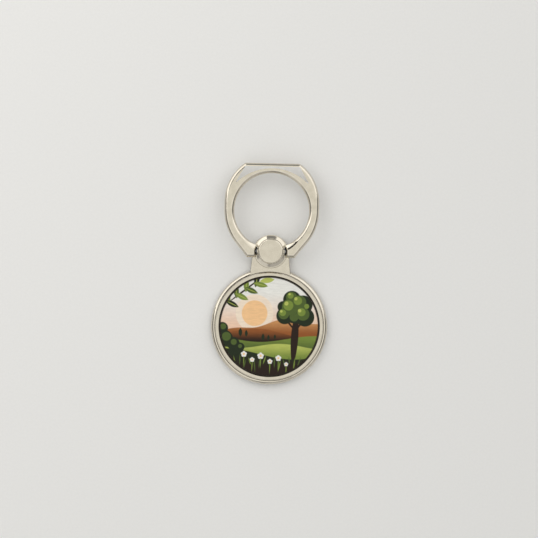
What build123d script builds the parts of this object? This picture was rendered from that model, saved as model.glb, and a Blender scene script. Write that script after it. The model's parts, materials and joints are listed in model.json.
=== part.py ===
from build123d import *
import os
from math import acos, cos, degrees, hypot, radians, sin, sqrt, tan

# Phone ring holder. The origin is the centre of the adhesive face, which lies on a phone's back.
# +Z points away from the phone, and +Y from the base disc to the hub and the finger ring.
# All lengths are in millimetres and all angles in degrees.

# Base casting
base_diameter = 34.0
plate_thickness = 1.5
shoulder_width = 1.2
shoulder_radius = 1.0
back_chamfer = 0.2
bezel_width = 1.2
bezel_rise = 0.35
bezel_chamfer = 0.25
groove_width = 0.25
groove_depth = 0.25
neck_width = 10.6
neck_root_width = 12.0
neck_edge = 0.35
neck_web = 0.7
spring_seat_diameter = 6.6

# Printed insert and its adhesive film
insert_thickness = 0.6
insert_recess = 0.35
insert_chamfer = 0.1
tape_thickness = 0.1
tape_inset = 0.5

# Adhesive pad
pad_thickness = 0.8
pad_inset = 0.8

# Swivel hub with its riveted stud
flange_diameter = 9.6
flange_thickness = 0.3
flange_lip = 0.2
collar_height = 0.5
hub_rise = 0.2
barrel_length = 8.0
barrel_diameter = 2.5
stud_diameter = 3.5
rivet_diameter = 5.2
rivet_height = 0.25
rivet_edge = 0.12

# Hub cap
cap_diameter = 7.2
cap_thickness = 0.55
cap_edge = 0.4
cap_ledge = 0.12
spigot_diameter = 5.6
spigot_depth = 0.25

# Spring, washers and hinge pin
spring_thickness = 0.15
spring_height = 0.3
washer_thickness = 0.2
hinge_washer_diameter = 2.4
hinge_washer_thickness = 0.2
pin_diameter = 1.5
pin_chamfer = 0.15
pin_recess = 0.2

# Finger ring
bore_diameter = 21.8
side_wall = 2.9
ring_thickness = 2.5
ring_edge_radius = 1.0
band_thickness = 1.4
crown_bar = 0.95
crown_raise = 2.5
crown_corner_extra = 0.2
window_slot = 0.55
window_wall = 1.7
window_tip_angle = 23.0
window_corner = 0.3
window_tip_radius = 0.15
cheek_growth = 1.0
cheek_angle = 39.0
foot_height = 3.6
relief_inset = 1.1
relief_offset = 3.0
relief_round = 3.5
relief_lead_angle = 8.0
relief_end_angle = 60.0

# Largest share of a wall that the softened edge beside it takes
edge_share = 0.8

# Clearances
insert_clearance = 0.15
hub_gap = 0.15
thrust_clearance = 0.05
running_clearance = 0.05
seat_clearance = 0.02
spring_side_clearance = 0.2
washer_side_clearance = 0.3
press_clearance = 0.01
ring_clearance = 0.3

# Levels and radii of the base
plate_bottom = pad_thickness
plate_top = plate_bottom + plate_thickness
bezel_top = plate_top + bezel_rise
insert_bottom = bezel_top - insert_recess - insert_thickness
pocket_floor = insert_bottom - tape_thickness
web_bottom = plate_top - neck_web
base_radius = base_diameter / 2
bezel_radius = base_radius - shoulder_width
pocket_radius = bezel_radius - bezel_width
insert_radius = pocket_radius - insert_clearance

# Levels and radii of the hub and of the stack on its stud
flange_radius = flange_diameter / 2
cap_radius = cap_diameter / 2
turret_radius = cap_radius + cap_ledge
spigot_radius = spigot_diameter / 2
stud_radius = stud_diameter / 2
rivet_radius = rivet_diameter / 2
seat_radius = spring_seat_diameter / 2
spring_radius = seat_radius - spring_side_clearance
washer_radius = seat_radius - washer_side_clearance
pin_radius = pin_diameter / 2
hub_y = base_radius + hub_gap + flange_radius
flange_bottom = plate_top + thrust_clearance
flange_top = flange_bottom + flange_thickness
spring_top = web_bottom - seat_clearance
spring_bottom = spring_top - spring_height
washer_top = spring_bottom - seat_clearance
washer_bottom = washer_top - washer_thickness
rivet_top = washer_bottom - seat_clearance
rivet_bottom = rivet_top - rivet_height

# Outline of the finger ring, about the centre of its bore
bore_radius = bore_diameter / 2
band_top = bore_radius + band_thickness
window_top = band_top + window_slot
crown_top = window_top + crown_bar
half_width = bore_radius + side_wall
crown_half = sqrt(half_width**2 - (crown_top - crown_raise) ** 2)
foot_face = barrel_length / 2 + hinge_washer_thickness + 2 * seat_clearance
foot_top = -sqrt(bore_radius**2 - foot_face**2)
foot_bottom = foot_top - foot_height
hinge_drop = foot_height / 2 - foot_top
cheek_radius = half_width + cheek_growth
cheek_end_x = cheek_radius * cos(radians(cheek_angle)) - cheek_growth
cheek_end_y = -cheek_radius * sin(radians(cheek_angle))
ring_edge = min(ring_edge_radius, edge_share * min(band_thickness, ring_thickness / 2))
crown_corner = ring_edge + crown_corner_extra
relief_radius = bore_radius - relief_inset

# The hinge stands so high that the rounded heel of a foot swings clear of bezel and flange
heel = hypot(foot_height / 2 - ring_edge, ring_thickness / 2 - ring_edge) + ring_edge
hinge_z = max(bezel_top, flange_top) + heel + ring_clearance
hub_top = hinge_z + ring_thickness / 2 + hub_rise

# Planes and axes
ring_plane = Plane((0, hub_y + hinge_drop, hinge_z - ring_thickness / 2))
hinge_plane = Plane((0, hub_y, hinge_z), x_dir=(0, 1, 0), z_dir=(1, 0, 0))
hub_section = Plane((0, hub_y, 0), x_dir=(1, 0, 0), z_dir=(0, -1, 0))
relief_y = hub_y + hinge_drop - relief_offset
relief_section = Plane((0, relief_y, hinge_z + ring_thickness / 2), x_dir=(1, 0, 0), z_dir=(0, -1, 0))
relief_axis = Axis((0, relief_y, 0), (0, 0, 1))
swivel_axis = Axis((0, hub_y, 0), (0, 0, 1))


def cheek_x(y):
    """Half-width of the ring where its side runs straight down to the foot."""
    return cheek_end_x - (cheek_end_y - y) * tan(radians(cheek_angle))


def finish(builder, name):
    """Labels a finished piece and writes it."""
    builder.part.label = name
    export_step(builder.part, f"parts/{name}.step")


os.makedirs("parts", exist_ok=True)

# Neck of the base, from the bezel to the far side of the hub
with BuildPart() as neck:
    with BuildSketch(Plane.XY.offset(plate_bottom)):
        with BuildLine():
            neck_end = hub_y + flange_radius - neck_width / 2
            root_y = sqrt(bezel_radius**2 - (neck_root_width / 2) ** 2)
            CenterArc((0, neck_end), neck_width / 2, 0, 360)
            Line((-neck_root_width / 2, root_y), (neck_root_width / 2, root_y))
        make_hull()
    extrude(amount=plate_thickness)
    chamfer(neck.edges().group_by(Axis.Z)[0], back_chamfer)
    fillet(neck.edges().group_by(Axis.Z)[-1], neck_edge)

# Base plate: round plate with its neck, cast with a raised bezel round the insert pocket
with BuildPart() as base_plate:
    with BuildSketch(Plane.XY.offset(plate_bottom)):
        Circle(base_radius)
    extrude(amount=plate_thickness)
    chamfer(base_plate.edges().group_by(Axis.Z)[0], back_chamfer)
    fillet(base_plate.edges().group_by(Axis.Z)[-1], min(shoulder_radius, edge_share * plate_thickness))
    add(neck.part)
    with BuildSketch(Plane.XY.offset(plate_bottom)):
        Circle(bezel_radius)
    extrude(amount=bezel_top - plate_bottom)
    with BuildSketch(Plane.XY.offset(pocket_floor)):
        Circle(pocket_radius)
    extrude(amount=bezel_top - pocket_floor, mode=Mode.SUBTRACT)
    chamfer(base_plate.edges().group_by(Axis.Z)[-1], min(bezel_chamfer, edge_share * bezel_width / 2))
    with BuildSketch(Plane.XY.offset(plate_top)):
        Circle(bezel_radius + groove_width)
        Circle(bezel_radius, mode=Mode.SUBTRACT)
    extrude(amount=-groove_depth, mode=Mode.SUBTRACT)
    with Locations(Plane((0, hub_y, plate_bottom), z_dir=(0, 0, -1))):
        CounterBoreHole(
            stud_radius + running_clearance,
            seat_radius,
            web_bottom - plate_bottom,
        )
finish(base_plate, "base_plate")

# Adhesive pad under the round plate
with BuildPart() as adhesive_pad:
    with BuildSketch():
        Circle(base_radius - pad_inset)
    extrude(amount=pad_thickness)
finish(adhesive_pad, "adhesive_pad")

# Adhesive film that holds the insert in its pocket
with BuildPart() as insert_tape:
    with BuildSketch(Plane.XY.offset(pocket_floor)):
        Circle(insert_radius - tape_inset)
    extrude(amount=tape_thickness)
finish(insert_tape, "insert_tape")

# Printed insert, a stamped disc with a softened upper edge
with BuildPart() as print_insert:
    with BuildSketch(Plane.XY.offset(insert_bottom)):
        Circle(insert_radius)
    extrude(amount=insert_thickness)
    chamfer(print_insert.edges().group_by(Axis.Z)[-1], min(insert_chamfer, edge_share * insert_thickness))
finish(print_insert, "print_insert")

# Swivel hub: riveted stud, flange with a conical collar, and turret, turned in one piece, with a cross barrel
with BuildPart() as swivel_hub:
    with BuildSketch(hub_section):
        with BuildLine():
            Polyline(
                (0, rivet_bottom),
                (rivet_radius - rivet_edge, rivet_bottom),
                (rivet_radius, rivet_bottom + rivet_edge),
                (rivet_radius, rivet_top),
                (stud_radius, rivet_top),
                (stud_radius, flange_bottom),
                (flange_radius, flange_bottom),
                (flange_radius, flange_top),
                (flange_radius - flange_lip, flange_top),
                (turret_radius, flange_top + collar_height),
                (turret_radius, hub_top),
                (0, hub_top),
                close=True,
            )
        make_face()
    revolve(axis=swivel_axis)
    with BuildSketch(Plane((0, hub_y, flange_top))):
        Rectangle(2 * flange_diameter, flange_diameter)
        Rectangle(barrel_length, flange_diameter, mode=Mode.SUBTRACT)
    extrude(amount=hub_top - flange_top, mode=Mode.SUBTRACT)
    with BuildSketch(hinge_plane):
        Circle(barrel_diameter / 2)
    extrude(amount=barrel_length / 2, both=True)
    with BuildSketch(hinge_plane):
        Circle(pin_radius + running_clearance)
    extrude(amount=barrel_length, both=True, mode=Mode.SUBTRACT)
    with Locations((0, hub_y, hub_top)):
        Hole(spigot_radius, spigot_depth)
finish(swivel_hub, "swivel_hub")

# Hub cap: flat disc with a rounded edge and a spigot that is pressed into the turret
with BuildPart() as hub_cap:
    with BuildSketch(Plane((0, hub_y, hub_top))):
        Circle(cap_radius)
    extrude(amount=cap_thickness)
    fillet(hub_cap.edges().group_by(Axis.Z)[-1], min(cap_edge, edge_share * cap_thickness))
    with BuildSketch(Plane((0, hub_y, hub_top))):
        Circle(spigot_radius - press_clearance)
    extrude(amount=seat_clearance - spigot_depth)
finish(hub_cap, "hub_cap")

# Disc spring: a coned washer, whose outer edge bears on the web of the neck
with BuildPart() as disc_spring:
    with BuildSketch(hub_section):
        with BuildLine():
            Polyline(
                (stud_radius + running_clearance, spring_bottom),
                (spring_radius, spring_top - spring_thickness),
                (spring_radius, spring_top),
                (stud_radius + running_clearance, spring_bottom + spring_thickness),
                close=True,
            )
        make_face()
    revolve(axis=swivel_axis)
finish(disc_spring, "disc_spring")

# Retaining washer between the spring and the riveted end of the stud
with BuildPart() as retaining_washer:
    with BuildSketch(Plane((0, hub_y, washer_bottom))):
        Circle(washer_radius)
        Circle(stud_radius + running_clearance, mode=Mode.SUBTRACT)
    extrude(amount=washer_thickness)
finish(retaining_washer, "retaining_washer")

# Hinge pin: pressed through both feet, with its ends just inside their slanted sides
with BuildPart() as hinge_pin:
    pin_half = cheek_x(-hinge_drop - pin_radius) - pin_recess
    with BuildSketch(hinge_plane):
        Circle(pin_radius)
    extrude(amount=pin_half, both=True)
    chamfer(hinge_pin.edges().filter_by(GeomType.CIRCLE), pin_chamfer)
finish(hinge_pin, "hinge_pin")

# Friction washers between the barrel of the hub and the feet of the ring
for side_name, side in (("left", -1), ("right", 1)):
    with BuildPart() as hinge_washer:
        with BuildSketch(hinge_plane.offset(side * (barrel_length / 2 + seat_clearance))):
            Circle(hinge_washer_diameter / 2)
            Circle(pin_radius + running_clearance, mode=Mode.SUBTRACT)
        extrude(amount=side * hinge_washer_thickness)
    finish(hinge_washer, f"hinge_washer_{side_name}")

# Dished cuts that round the edges of the finger bore beside the feet
with BuildPart() as finger_relief:
    with BuildSketch(relief_section):
        with BuildLine():
            lead = radians(relief_lead_angle)
            round_centre = (relief_radius + relief_round * sin(lead), -relief_round * cos(lead))
            sweep_angle = relief_end_angle - relief_lead_angle
            rounding = CenterArc(round_centre, relief_round, 90 + relief_lead_angle, sweep_angle)
            Polyline(rounding @ 0, (0, 0), (0, (rounding @ 1).Y), rounding @ 1)
        make_face()
    revolve(axis=relief_axis)
    mirror(about=ring_plane.offset(ring_thickness / 2))

# Finger ring: round bore, arched sides up to a flat crown with a window behind it, and two feet
with BuildPart() as finger_ring:
    with BuildSketch(ring_plane) as ring_outline:
        with BuildLine():
            crown_angle = degrees(acos(crown_half / half_width))
            crown_side = CenterArc((0, crown_raise), half_width, 0, crown_angle)
            Line(crown_side @ 0, (half_width, 0))
            cheek = CenterArc((-cheek_growth, 0), cheek_radius, 0, -cheek_angle)
            Polyline(
                cheek @ 1,
                (cheek_x(foot_bottom), foot_bottom),
                (foot_face, foot_bottom),
                (foot_face, foot_top),
            )
            mirror(about=Plane.YZ)
            Line((-crown_half, crown_top), (crown_half, crown_top))
            bore_start = -degrees(acos(foot_face / bore_radius))
            CenterArc((0, 0), bore_radius, bore_start, 180 - 2 * bore_start)
        make_face()
        fillet(ring_outline.vertices().group_by(Axis.Y)[-1], crown_corner)
    extrude(amount=ring_thickness)
    fillet(finger_ring.faces().filter_by(Axis.Z).edges(), ring_edge)
    with BuildSketch(ring_plane) as window:
        with BuildLine():
            tip_x = (half_width - window_wall) * cos(radians(window_tip_angle))
            tip_y = (half_width - window_wall) * sin(radians(window_tip_angle)) + crown_raise
            Polyline((-tip_x, tip_y), (-crown_half, window_top), (crown_half, window_top), (tip_x, tip_y))
            ThreePointArc((-tip_x, tip_y), (0, band_top), (tip_x, tip_y))
        make_face()
        fillet(window.vertices().group_by(Axis.Y)[-1], window_corner)
        fillet(window.vertices().group_by(Axis.Y)[0], window_tip_radius)
    extrude(amount=ring_thickness, mode=Mode.SUBTRACT)
    add(finger_relief.part, mode=Mode.SUBTRACT)
    with BuildSketch(hinge_plane):
        Circle(pin_radius + press_clearance)
    extrude(amount=cheek_radius, both=True, mode=Mode.SUBTRACT)
finish(finger_ring, "finger_ring")
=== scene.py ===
import json
import math

import bpy
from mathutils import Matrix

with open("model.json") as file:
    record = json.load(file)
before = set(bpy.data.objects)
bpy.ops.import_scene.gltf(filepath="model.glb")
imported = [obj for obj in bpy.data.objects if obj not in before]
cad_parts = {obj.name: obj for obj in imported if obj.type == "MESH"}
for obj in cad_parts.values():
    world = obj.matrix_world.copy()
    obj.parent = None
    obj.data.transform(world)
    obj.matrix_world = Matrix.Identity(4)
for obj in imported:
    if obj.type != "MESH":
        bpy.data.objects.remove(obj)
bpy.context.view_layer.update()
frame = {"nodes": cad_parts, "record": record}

MM = 1000.0
FLAT = (1.0, 1.0, 0.0)
UP = (0.0, 0.0, 1.0)

# Framing of the photograph: a square picture, seen from straight above
IMAGE_WIDTH = 0.1579
IMAGE_CENTRE = (-0.00041, 0.01677)
IMAGE_ROLL = 1.25
SENSOR = 36.0
LENS = 150.0
CLIP_NEAR = 0.01
CLIP_FAR = 20.0

# Key light; directions are an azimuth from +X and a tilt from the zenith, in degrees
KEY_TARGET = (0.0, 0.016, 0.0)
KEY_AZIMUTH = 138.0
KEY_TILT = 57.0
KEY_DISTANCE = 0.55
KEY_SIZE = 0.54
KEY_POWER = 1.2
KEY_COLOUR = (1.0, 0.98, 0.95)

# Studio: colours by tilt, then round panels as azimuth, tilt, inner and outer half-angle, level
STUDIO = (
    (0.0, (0.92, 0.91, 0.86)),
    (13.0, (0.92, 0.91, 0.86)),
    (18.0, (1.12, 1.11, 1.06)),
    (30.0, (1.12, 1.11, 1.06)),
    (44.0, (0.37, 0.37, 0.365)),
    (60.0, (0.33, 0.33, 0.33)),
    (68.0, (0.04, 0.04, 0.04)),
    (78.0, (0.04, 0.04, 0.04)),
    (83.0, (0.72, 0.72, 0.71)),
)
PANELS = (
    (135.0, 28.0, 11.0, 14.0, 0.02),
    (40.0, 54.0, 21.0, 28.0, 1.38),
    (235.0, 56.0, 14.0, 26.0, 0.8),
    (300.0, 56.0, 18.0, 36.0, 0.55),
)
PANEL_TINT = (1.0, 0.99, 0.97)

FLOOR_HALF = 3.0
FLOOR_TONES = ((0.85, 0.85, 0.845), (0.9, 0.9, 0.895))

# Darker and lighter tones of the finishes, and the colours of painted shade that darken the plating
# in corners and in a seam
NICKEL_TONES = ((0.655, 0.605, 0.51), (0.715, 0.665, 0.565))
NICKEL_CORNER_SHADE = (0.16, 0.14, 0.115)
NICKEL_SEAM_SHADE = (0.035, 0.029, 0.023)
STEEL_TONES = ((0.34, 0.34, 0.345), (0.58, 0.575, 0.56))
NYLON_TONES = ((0.012, 0.012, 0.013), (0.035, 0.035, 0.037))
FOAM_TONES = ((0.16, 0.16, 0.165), (0.27, 0.27, 0.275))
FOAM_SKIN = (0.33, 0.33, 0.33)
FILM_TONES = ((0.62, 0.6, 0.54), (0.8, 0.78, 0.72))
ALUMINIUM_TONES = ((0.62, 0.62, 0.61), (0.8, 0.8, 0.79))

# The printed insert, the seam round it and the painted shade along them, in millimetres
INSERT_RADIUS = 14.45
INSERT_TOP = 2.3
SEAM_RADIUS = 14.62
# Painted shade: a dark band at the edge of the print, next to the seam
SHADE_RIM_START = INSERT_RADIUS - 0.4
SHADE_RIM_END = INSERT_RADIUS - 0.1
FACE_START = INSERT_TOP - 0.02
FACE_END = INSERT_TOP - 0.01

# Colours of the print
PALE = (0.87, 0.87, 0.83)
PEACH = (0.9, 0.62, 0.45)
GLOW = (0.93, 0.79, 0.64)
SUN = (0.95, 0.6, 0.31)
TAN = (0.6, 0.29, 0.11)
RUST = (0.31, 0.1, 0.026)
LIME = (0.5, 0.56, 0.13)
LEAF = (0.2, 0.28, 0.05)
MOSS = (0.085, 0.13, 0.03)
DEEP = (0.017, 0.028, 0.012)
BROWN = (0.024, 0.013, 0.008)

# Shapes of the print, in units of its radius
PRINT_EDGE = 0.008

# Fades: two heights and their colours
SKY = (-0.1, 0.75, PEACH, PALE)

# Discs: x, y, radius
SUN_HALO = (-0.3, 0.26, 0.38)
SUN_DISC = (-0.3, 0.26, 0.26)
HEDGE = (
    (DEEP, ((-0.9, -0.26, 0.17), (-0.72, -0.36, 0.13), (-0.95, -0.05, 0.12), (-0.58, -0.43, 0.09))),
    (MOSS, ((-0.86, -0.22, 0.09), (-0.71, -0.33, 0.06), (-0.93, -0.02, 0.06), (-0.58, -0.41, 0.04))),
)
CROWN = (
    (DEEP, ((0.5, 0.33, 0.26), (0.31, 0.22, 0.17), (0.72, 0.2, 0.19))),
    (DEEP, ((0.45, 0.55, 0.18), (0.68, 0.45, 0.19), (0.28, 0.4, 0.12))),
    (MOSS, ((0.42, 0.4, 0.17), (0.6, 0.5, 0.14), (0.29, 0.26, 0.11))),
    (MOSS, ((0.68, 0.26, 0.13), (0.44, 0.6, 0.11), (0.5, 0.2, 0.09))),
    (LEAF, ((0.38, 0.43, 0.1), (0.57, 0.53, 0.085), (0.27, 0.28, 0.065))),
    (LEAF, ((0.65, 0.3, 0.08), (0.42, 0.63, 0.06), (0.75, 0.42, 0.05))),
    (LIME, ((0.34, 0.47, 0.04), (0.53, 0.57, 0.032), (0.24, 0.31, 0.026))),
    (LIME, ((0.61, 0.33, 0.034), (0.4, 0.66, 0.022))),
)

# Hills: a fade, then waves as level, height, turns, shift
FAR_RIDGE = ((-0.15, 0.12, RUST, TAN), ((0.02, 0.1, 2.4, 0.5), (0.0, 0.03, 7.0, 0.0)))
NEAR_RIDGE = ((-0.3, -0.05, BROWN, RUST), ((-0.13, 0.08, 3.1, 2.4),))
WOOD = ((-0.5, -0.18, MOSS, LEAF), ((-0.25, 0.07, 2.7, -1.0),))
MEADOW = ((-0.65, -0.35, LEAF, LIME), ((-0.4, 0.05, 3.6, 0.7),))
FOREGROUND = ((-0.85, -0.55, BROWN, DEEP), ((-0.56, 0.1, 2.3, 3.6),))

# Leaf shapes: x, y, half length, half width, turn in degrees
TRUNK = (
    (0.52, -0.22, 0.62, 0.075, 87.0),
    (0.41, 0.06, 0.2, 0.02, 130.0),
    (0.62, 0.04, 0.18, 0.02, 52.0),
)
BRANCH = (-0.5, 0.73, 0.52, 0.018, 38.0)

# Far trees: x, y, half height
FAR_TREES = (
    (-0.58, -0.13, 0.09),
    (-0.46, -0.15, 0.07),
    (-0.12, -0.22, 0.075),
    (-0.01, -0.23, 0.06),
    (0.12, -0.21, 0.05),
)
FAR_TREE_WIDTH = 0.42

# Leaves of the branch: x, y, turn, colour
TWIG = (
    (-0.85, 0.56, 100.0, LEAF),
    (-0.76, 0.44, -25.0, DEEP),
    (-0.68, 0.7, 95.0, MOSS),
    (-0.57, 0.59, -25.0, LEAF),
    (-0.48, 0.83, 88.0, LEAF),
    (-0.38, 0.72, -22.0, MOSS),
    (-0.27, 0.93, 80.0, DEEP),
    (-0.19, 0.84, -12.0, LEAF),
    (-0.06, 0.93, 8.0, LIME),
)
TWIG_LEAF = (0.15, 0.055)
TWIG_RIB = (0.12, 0.006)

# Grass: a start and a step for each measure, and how often the steps start again
BLADES = 16
BLADE_X = (-0.78, 0.1)
BLADE_Y = (-0.8, 0.03)
BLADE_LENGTH = (0.07, 0.02)
BLADE_TURN = (72.0, 6.0)
BLADE_WIDTH = 0.012
BLADE_COLOURS = (MOSS, LEAF, MOSS)

# Blossoms: x, y, size
BLOSSOMS = (
    (-0.5, -0.57, 1.0),
    (-0.33, -0.68, 0.8),
    (-0.16, -0.6, 1.1),
    (0.03, -0.71, 0.85),
    (0.2, -0.64, 1.0),
    (0.36, -0.76, 0.7),
)
PETALS = 5
PETAL_REACH = 0.034
PETAL_RADIUS = 0.027
EYE_RADIUS = 0.021
STALK_DROP = 0.11
STALK = (0.13, 0.009, 88.0)


class Graph:
    """A material's or world's node tree, with short calls for the nodes used here."""

    def __init__(self, owner):
        owner.use_nodes = True
        self.tree = owner.node_tree
        self.tree.nodes.clear()

    def node(self, kind, inputs=(), **settings):
        made = self.tree.nodes.new(kind)
        for name, value in settings.items():
            setattr(made, name, value)
        for key, value in dict(inputs).items():
            self.put(made.inputs[key], value)
        return made

    def put(self, socket, value):
        if isinstance(value, bpy.types.NodeSocket):
            self.tree.links.new(value, socket)
        elif isinstance(value, (tuple, list)) and len(value) == 3 and socket.type == "RGBA":
            socket.default_value = (*value, 1.0)
        else:
            socket.default_value = value

    def math(self, operation, a, b=0.0, c=0.0):
        made = self.node("ShaderNodeMath", {0: a, 1: b, 2: c}, operation=operation)
        return made.outputs[0]

    def linear(self, value, gain, base):
        """A value times gain, plus base."""
        return self.math("MULTIPLY_ADD", value, gain, base)

    def vector(self, operation, a, b=(0.0, 0.0, 0.0)):
        made = self.node("ShaderNodeVectorMath", {0: a, 1: b}, operation=operation)
        number = operation in ("DOT_PRODUCT", "LENGTH", "DISTANCE")
        return made.outputs["Value" if number else "Vector"]

    def scaled(self, vector, factor):
        inputs = {"Vector": vector, "Scale": factor}
        return self.node("ShaderNodeVectorMath", inputs, operation="SCALE").outputs["Vector"]

    def mix(self, factor, a, b):
        made = self.node("ShaderNodeMix", data_type="RGBA")
        for socket, value in ((made.inputs[0], factor), (made.inputs[6], a), (made.inputs[7], b)):
            self.put(socket, value)
        return made.outputs[2]

    def ramp(self, value, low, high, out_low=0.0, out_high=1.0):
        inputs = {"Value": value, "From Min": low, "From Max": high}
        inputs.update({"To Min": out_low, "To Max": out_high})
        made = self.node("ShaderNodeMapRange", inputs, interpolation_type="SMOOTHSTEP")
        return made.outputs["Result"]

    def noise(self, vector, scale, detail=2.0, roughness=0.5):
        inputs = {"Vector": vector, "Scale": scale, "Detail": detail, "Roughness": roughness}
        return self.node("ShaderNodeTexNoise", inputs).outputs["Fac"]

    def streaks(self, place, stretch, detail, roughness=0.5):
        """Noise that is finer along some axes than along others."""
        return self.noise(self.vector("MULTIPLY", place, stretch), 1.0, detail, roughness)

    def bump(self, height, strength, distance, normal=None):
        inputs = {"Height": height, "Strength": strength, "Distance": distance}
        made = self.node("ShaderNodeBump", inputs)
        if normal is not None:
            self.put(made.inputs["Normal"], normal)
        return made.outputs["Normal"]

    def place(self):
        """Position on the object in millimetres."""
        return self.scaled(self.node("ShaderNodeTexCoord").outputs["Object"], MM)

    def axis_distance(self, place):
        """Distance from the upright axis of the base."""
        return self.vector("LENGTH", self.vector("MULTIPLY", place, FLAT))

    def surface(self, **inputs):
        named = {key.replace("_", " "): value for key, value in inputs.items()}
        shader = self.node("ShaderNodeBsdfPrincipled", named)
        output = self.node("ShaderNodeOutputMaterial")
        self.tree.links.new(shader.outputs[0], output.inputs["Surface"])


def material(name):
    made = bpy.data.materials.new(name)
    return made, Graph(made)


def nickel(name, seam=None):
    """Polished nickel plate on a zinc casting: uneven, with faint polishing marks, with painted shade
    in its corners and a painted dark line of shade along a seam.
    """
    made, g = material(name)
    p = g.place()
    cloud = g.noise(p, scale=0.55, detail=3.0)
    grain = g.noise(p, scale=5.0, detail=4.0, roughness=0.6)
    marks = g.streaks(p, stretch=(1.2, 26.0, 9.0), detail=3.0, roughness=0.6)
    tone = g.linear(grain, gain=0.35, base=g.math("MULTIPLY", cloud, 0.65))
    colour = g.mix(g.ramp(tone, low=0.35, high=0.65), *NICKEL_TONES)
    # Painted shade: the plating turns dark where ambient occlusion finds corners and creases
    occlusion = g.node("ShaderNodeAmbientOcclusion", {"Distance": 0.0006}, samples=8)
    colour = g.mix(g.ramp(occlusion.outputs["AO"], low=0.35, high=0.9), NICKEL_CORNER_SHADE, colour)
    # Painted shade: a dark ring on the plating along the seam round the insert
    if seam:
        away = g.math("ABSOLUTE", g.math("SUBTRACT", g.axis_distance(p), seam))
        ragged = g.linear(grain, gain=0.1, base=away)
        colour = g.mix(g.ramp(ragged, low=0.16, high=0.32), NICKEL_SEAM_SHADE, colour)
    rough = g.linear(marks, gain=0.06, base=g.math("MULTIPLY", grain, 0.05))
    waves = g.bump(g.noise(p, scale=0.9), strength=0.2, distance=0.00006)
    scratches = g.bump(marks, strength=0.12, distance=0.00001, normal=waves)
    g.surface(
        Base_Color=colour,
        Metallic=1.0,
        Roughness=g.math("ADD", rough, 0.02),
        Normal=scratches,
    )
    return made


def spring_steel():
    """Rolled steel with a fine grain and a slightly bluish tone."""
    made, g = material("spring_steel")
    p = g.place()
    grain = g.noise(p, scale=12.0, detail=4.0, roughness=0.65)
    streaks = g.streaks(p, stretch=(2.0, 40.0, 40.0), detail=3.0)
    g.surface(
        Base_Color=g.mix(grain, *STEEL_TONES),
        Metallic=1.0,
        Roughness=g.linear(streaks, gain=0.2, base=0.2),
        Normal=g.bump(streaks, strength=0.2, distance=0.00001),
    )
    return made


def dark_nylon():
    """Black moulded nylon with a fine sparkle of filler."""
    made, g = material("dark_nylon")
    grain = g.noise(g.place(), scale=22.0, detail=3.0, roughness=0.6)
    g.surface(
        Base_Color=g.mix(g.ramp(grain, low=0.4, high=0.75), *NYLON_TONES),
        Roughness=g.linear(grain, gain=0.25, base=0.38),
        Normal=g.bump(grain, strength=0.25, distance=0.00001),
    )
    return made


def foam_tape():
    """Grey closed-cell acrylic foam, with cells on its cut edge and a tacky skin on its faces."""
    made, g = material("foam_tape")
    p = g.place()
    cells = g.node("ShaderNodeTexVoronoi", {"Vector": p, "Scale": 5.5, "Randomness": 1.0})
    cell = g.ramp(cells.outputs["Distance"], low=0.1, high=0.7)
    cloud = g.noise(p, scale=0.5, detail=3.0)
    skin = g.ramp(cloud, low=0.4, high=0.65, out_high=0.35)
    g.surface(
        Base_Color=g.mix(skin, g.mix(cell, *FOAM_TONES), FOAM_SKIN),
        Roughness=g.linear(cloud, gain=0.25, base=0.55),
        Normal=g.bump(cell, strength=0.5, distance=0.00004),
    )
    return made


def adhesive_film():
    """Milky double-sided film with fine bubbles."""
    made, g = material("adhesive_film")
    bubbles = g.noise(g.place(), scale=3.0, detail=3.0)
    g.surface(
        Base_Color=g.mix(bubbles, *FILM_TONES),
        Roughness=g.linear(bubbles, gain=0.3, base=0.35),
        Normal=g.bump(bubbles, strength=0.2, distance=0.00002),
    )
    return made


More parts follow.
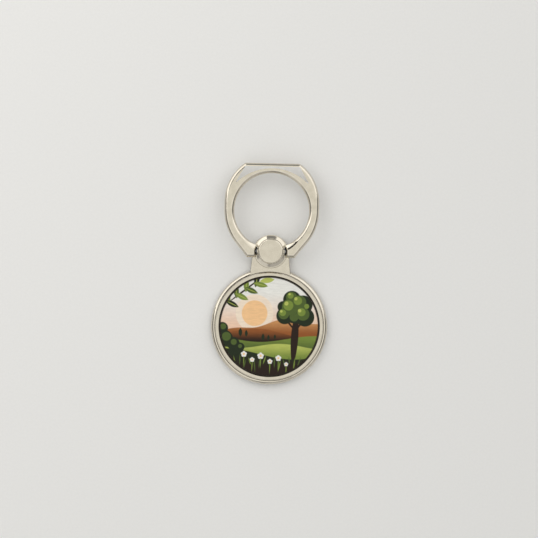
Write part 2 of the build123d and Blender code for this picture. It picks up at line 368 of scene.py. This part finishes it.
class Print:
    """Fields of colour, laid over one another on the round insert, in units of its radius."""

    def __init__(self, g, place):
        self.g = g
        self.at = g.scaled(g.vector("MULTIPLY", place, FLAT), 1.0 / INSERT_RADIUS)
        split = g.node("ShaderNodeSeparateXYZ", {0: self.at})
        self.x, self.y = split.outputs[0], split.outputs[1]
        self.colour = self.fade(*SKY)

    def lay(self, room, colour):
        """Lays a colour where room is positive, with a narrow soft edge."""
        inside = self.g.ramp(room, -PRINT_EDGE, PRINT_EDGE)
        self.colour = self.g.mix(inside, self.colour, colour)

    def fade(self, low, high, low_colour, high_colour):
        return self.g.mix(self.g.ramp(self.y, low, high), low_colour, high_colour)

    def wave(self, level, height, turns, shift):
        """A height over X that swings about a level."""
        angle = self.g.linear(self.x, turns, shift)
        return self.g.linear(self.g.math("SINE", angle), height, level)

    def hill(self, fade, waves):
        top = self.wave(*waves[0])
        for wave in waves[1:]:
            top = self.g.math("ADD", top, self.wave(*wave))
        self.lay(self.g.math("SUBTRACT", top, self.y), self.fade(*fade))

    def disc(self, colour, x, y, radius):
        away = self.g.vector("DISTANCE", self.at, (x, y, 0.0))
        self.lay(self.g.math("SUBTRACT", radius, away), colour)

    def leaf(self, colour, x, y, length, width, turn):
        """A pointed leaf, as long and wide as given to each side of its middle."""
        c, s = math.cos(math.radians(turn)), math.sin(math.radians(turn))
        offset = self.g.vector("SUBTRACT", self.at, (x, y, 0.0))
        along = self.g.vector("DOT_PRODUCT", offset, (c / length, s / length, 0.0))
        across = self.g.math("ABSOLUTE", self.g.vector("DOT_PRODUCT", offset, (-s, c, 0.0)))
        half = self.g.linear(self.g.math("MULTIPLY", along, along), -width, width)
        self.lay(self.g.math("SUBTRACT", half, across), colour)

    def clusters(self, groups):
        for colour, discs in groups:
            for disc in discs:
                self.disc(colour, *disc)

    def grass(self):
        """Blades in a row, with lengths and turns that repeat unevenly."""
        for blade in range(BLADES):
            x = BLADE_X[0] + BLADE_X[1] * blade
            y = BLADE_Y[0] + BLADE_Y[1] * ((blade * 2) % 5)
            length = BLADE_LENGTH[0] + BLADE_LENGTH[1] * ((blade * 3) % 4)
            turn = BLADE_TURN[0] + BLADE_TURN[1] * ((blade * 5) % 7)
            colour = BLADE_COLOURS[blade % len(BLADE_COLOURS)]
            self.leaf(colour, x, y, length, BLADE_WIDTH, turn)

    def blossom(self, x, y, size):
        self.leaf(LEAF, x, y - STALK_DROP, *STALK)
        reach = PETAL_REACH * size
        for petal in range(PETALS):
            angle = math.radians(90.0 + 360.0 / PETALS * petal)
            at = (x + reach * math.cos(angle), y + reach * math.sin(angle))
            self.disc(PALE, *at, PETAL_RADIUS * size)
        self.disc(SUN, x, y, EYE_RADIUS * size)


def landscape(g, place):
    """A made-up evening landscape: sun, hills, a meadow with blossoms, a tree and a leafy branch."""
    sheet = Print(g, place)
    sheet.disc(GLOW, *SUN_HALO)
    sheet.disc(SUN, *SUN_DISC)
    for hill in (FAR_RIDGE, NEAR_RIDGE, WOOD):
        sheet.hill(*hill)
    for x, y, height in FAR_TREES:
        sheet.leaf(DEEP, x, y, height, height * FAR_TREE_WIDTH, 90.0)
    sheet.hill(*MEADOW)
    sheet.clusters(HEDGE)
    for limb in TRUNK:
        sheet.leaf(BROWN, *limb)
    sheet.clusters(CROWN)
    sheet.hill(*FOREGROUND)
    sheet.grass()
    for blossom in BLOSSOMS:
        sheet.blossom(*blossom)
    sheet.leaf(BROWN, *BRANCH)
    for x, y, turn, colour in TWIG:
        sheet.leaf(colour, x, y, *TWIG_LEAF, turn)
        sheet.leaf(LIME, x, y, *TWIG_RIB, turn)
    return sheet.colour


def printed_metal():
    """Stamped aluminium with a printed and clear-coated face: bare metal on its edge and back."""
    made, g = material("printed_metal")
    p = g.place()
    picture = landscape(g, p)
    grain = g.noise(p, scale=9.0, detail=3.0, roughness=0.6)
    brush = g.streaks(p, stretch=(0.5, 2.2, 1.0), detail=3.0)
    shade = g.linear(grain, gain=0.16, base=g.linear(brush, gain=0.3, base=0.76))
    # Painted shade: the print turns dark brown towards its edge, next to the seam
    shade_rim = g.ramp(g.axis_distance(p), SHADE_RIM_START, SHADE_RIM_END)
    printed = g.mix(shade_rim, g.scaled(picture, shade), BROWN)
    face = g.ramp(g.vector("DOT_PRODUCT", p, UP), FACE_START, FACE_END)
    g.surface(
        Base_Color=g.mix(face, g.mix(grain, *ALUMINIUM_TONES), printed),
        Metallic=g.math("SUBTRACT", 1.0, face),
        Roughness=g.linear(grain, gain=0.15, base=0.28),
        Normal=g.bump(g.noise(p, scale=1.6), strength=0.06, distance=0.00002),
        Specular_IOR_Level=0.1,
        Coat_Weight=0.15,
        Coat_Roughness=0.05,
    )
    return made


def direction(azimuth, tilt):
    a, t = math.radians(azimuth), math.radians(tilt)
    return (math.sin(t) * math.cos(a), math.sin(t) * math.sin(a), math.cos(t))


def studio_world():
    """A white studio: bright ceiling, grey walls with a dark band, pale horizon, and soft panels."""
    world = bpy.data.worlds.new("studio")
    bpy.context.scene.world = world
    g = Graph(world)
    look = g.node("ShaderNodeTexCoord").outputs["Generated"]
    angle = g.math("DEGREES", g.math("ARCCOSINE", g.vector("DOT_PRODUCT", look, UP)))
    colour = STUDIO[0][1]
    for (near, before), (far, after) in zip(STUDIO, STUDIO[1:]):
        if before != after:
            colour = g.mix(g.ramp(angle, near, far), colour, after)
    for azimuth, tilt, inner, outer, level in PANELS:
        facing = g.vector("DOT_PRODUCT", look, direction(azimuth, tilt))
        inside = g.ramp(facing, math.cos(math.radians(outer)), math.cos(math.radians(inner)))
        colour = g.mix(inside, colour, tuple(level * tint for tint in PANEL_TINT))
    background = g.node("ShaderNodeBackground", {"Color": colour, "Strength": 1.0})
    output = g.node("ShaderNodeOutputWorld")
    g.tree.links.new(background.outputs[0], output.inputs["Surface"])


def linked(name, data):
    made = bpy.data.objects.new(name, data)
    bpy.context.scene.collection.objects.link(made)
    return made


def key_light():
    lamp = bpy.data.lights.new("key", "AREA")
    lamp.shape = "SQUARE"
    lamp.size = KEY_SIZE
    lamp.energy = KEY_POWER
    lamp.color = KEY_COLOUR
    made = linked("key", lamp)
    away = direction(KEY_AZIMUTH, KEY_TILT)
    made.location = [t + KEY_DISTANCE * a for t, a in zip(KEY_TARGET, away)]
    made.rotation_euler = (math.radians(KEY_TILT), 0.0, math.radians(KEY_AZIMUTH + 90.0))


def pale_floor():
    mesh = bpy.data.meshes.new("floor")
    h = FLOOR_HALF
    mesh.from_pydata([(-h, -h, 0), (h, -h, 0), (h, h, 0), (-h, h, 0)], [], [(0, 1, 2, 3)])
    made = linked("floor", mesh)
    paper, g = material("floor_paper")
    fibre = g.noise(g.place(), scale=1.5, detail=4.0)
    g.surface(
        Base_Color=g.mix(fibre, *FLOOR_TONES),
        Roughness=0.9,
        Normal=g.bump(fibre, strength=0.05, distance=0.00005),
    )
    mesh.materials.append(paper)


def camera():
    data = bpy.data.cameras.new("camera")
    data.sensor_width = SENSOR
    data.lens = LENS
    data.clip_start, data.clip_end = CLIP_NEAR, CLIP_FAR
    made = linked("camera", data)
    made.location = (*IMAGE_CENTRE, IMAGE_WIDTH * LENS / SENSOR)
    made.rotation_euler = (0.0, 0.0, math.radians(IMAGE_ROLL))
    bpy.context.scene.camera = made


finishes = {
    "nickel_plate": nickel("nickel_plate"),
    "printed_metal": printed_metal(),
    "adhesive_film": adhesive_film(),
    "foam_tape": foam_tape(),
    "spring_steel": spring_steel(),
    "dark_nylon": dark_nylon(),
}
for row in frame["record"]["subparts"]:
    piece = frame["nodes"][row["node"]]
    piece.data.materials.clear()
    piece.data.materials.append(finishes[row["material_slot"]])
base = frame["nodes"]["base_plate"]
base.data.materials[0] = nickel("nickel_base", SEAM_RADIUS)

pale_floor()
studio_world()
key_light()
camera()
bpy.context.scene.view_settings.view_transform = "Standard"
